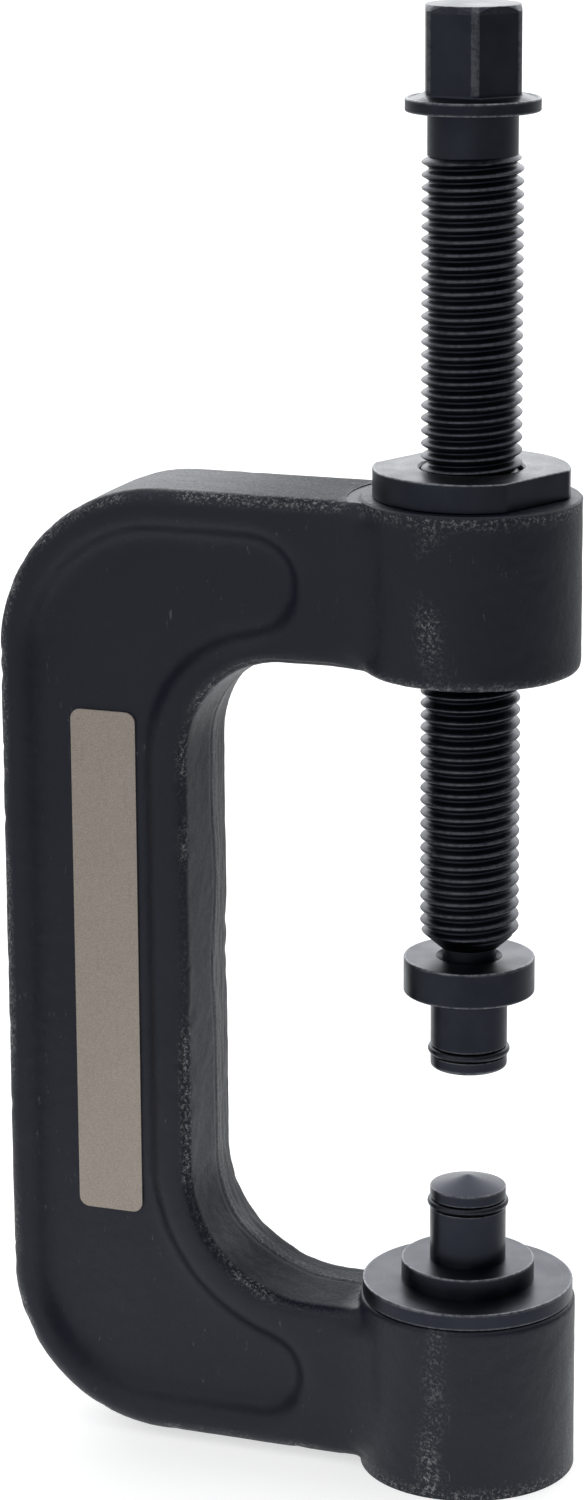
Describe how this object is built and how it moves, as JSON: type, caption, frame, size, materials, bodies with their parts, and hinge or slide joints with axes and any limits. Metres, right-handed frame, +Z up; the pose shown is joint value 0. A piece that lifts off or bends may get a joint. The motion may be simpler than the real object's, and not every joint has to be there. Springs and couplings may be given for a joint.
{
  "type": "ball joint separator",
  "caption": "C-frame screw press for ball joints: forged frame, impact hex spindle in a threaded bush, swivelling pressure pad and stepped anvil with adapter studs.",
  "frame": {"origin": "on the spindle axis at the underside of the lower boss", "axes": "+Z up along the spindle axis, the spine at -X and the throat open to +X, +Y across the frame's thickness; the name plate faces -Y"},
  "size_m": [0.1435, 0.0534, 0.36],
  "materials": {
    "frame_finish": "satin black phosphated drop forging with scuffed edges",
    "plate_metal": "bead-blasted",
    "black_oxide": "oiled black oxide over turned steel",
    "bearing_steel": "ground and polished",
    "spring_steel": "blued spring wire",
    "seal_rubber": "matt"
  },
  "bodies": {
    "frame": {"c_frame": "frame_finish", "name_plate": "plate_metal", "spindle_bush": "black_oxide"},
    "carrier": {"thrust_ball": "bearing_steel"},
    "spindle": {"spindle": "black_oxide"},
    "pad": {"pressure_pad": "black_oxide", "pad_retaining_ring": "spring_steel", "pad_snap_ring": "spring_steel"},
    "anvil": {"anvil": "black_oxide", "anvil_snap_ring": "spring_steel", "anvil_o_ring": "seal_rubber"}
  },
  "joints": [
    {"name": "spindle_feed", "type": "slide", "parent": "frame", "child": "carrier", "axis": [0, 0, 1], "range_m": [-0.0276, 0.0681]},
    {"name": "spindle_turn", "type": "hinge", "parent": "carrier", "child": "spindle", "pos_m": [0, 0, 0.2], "axis": [0, 0, 1], "range_deg": [-3300, 8160]},
    {"name": "pad_swivel", "type": "hinge", "parent": "carrier", "child": "pad", "pos_m": [0, 0, 0.1145], "axis": [0, 0, 1], "continuous": true},
    {"name": "anvil_swivel", "type": "hinge", "parent": "frame", "child": "anvil", "pos_m": [0, 0, 0.0442], "axis": [0, 0, 1], "continuous": true}
  ],
  "couplings": [
    {"joint": "spindle_feed", "follows": "spindle_turn", "m_per_rad": 0.00047746}
  ]
}
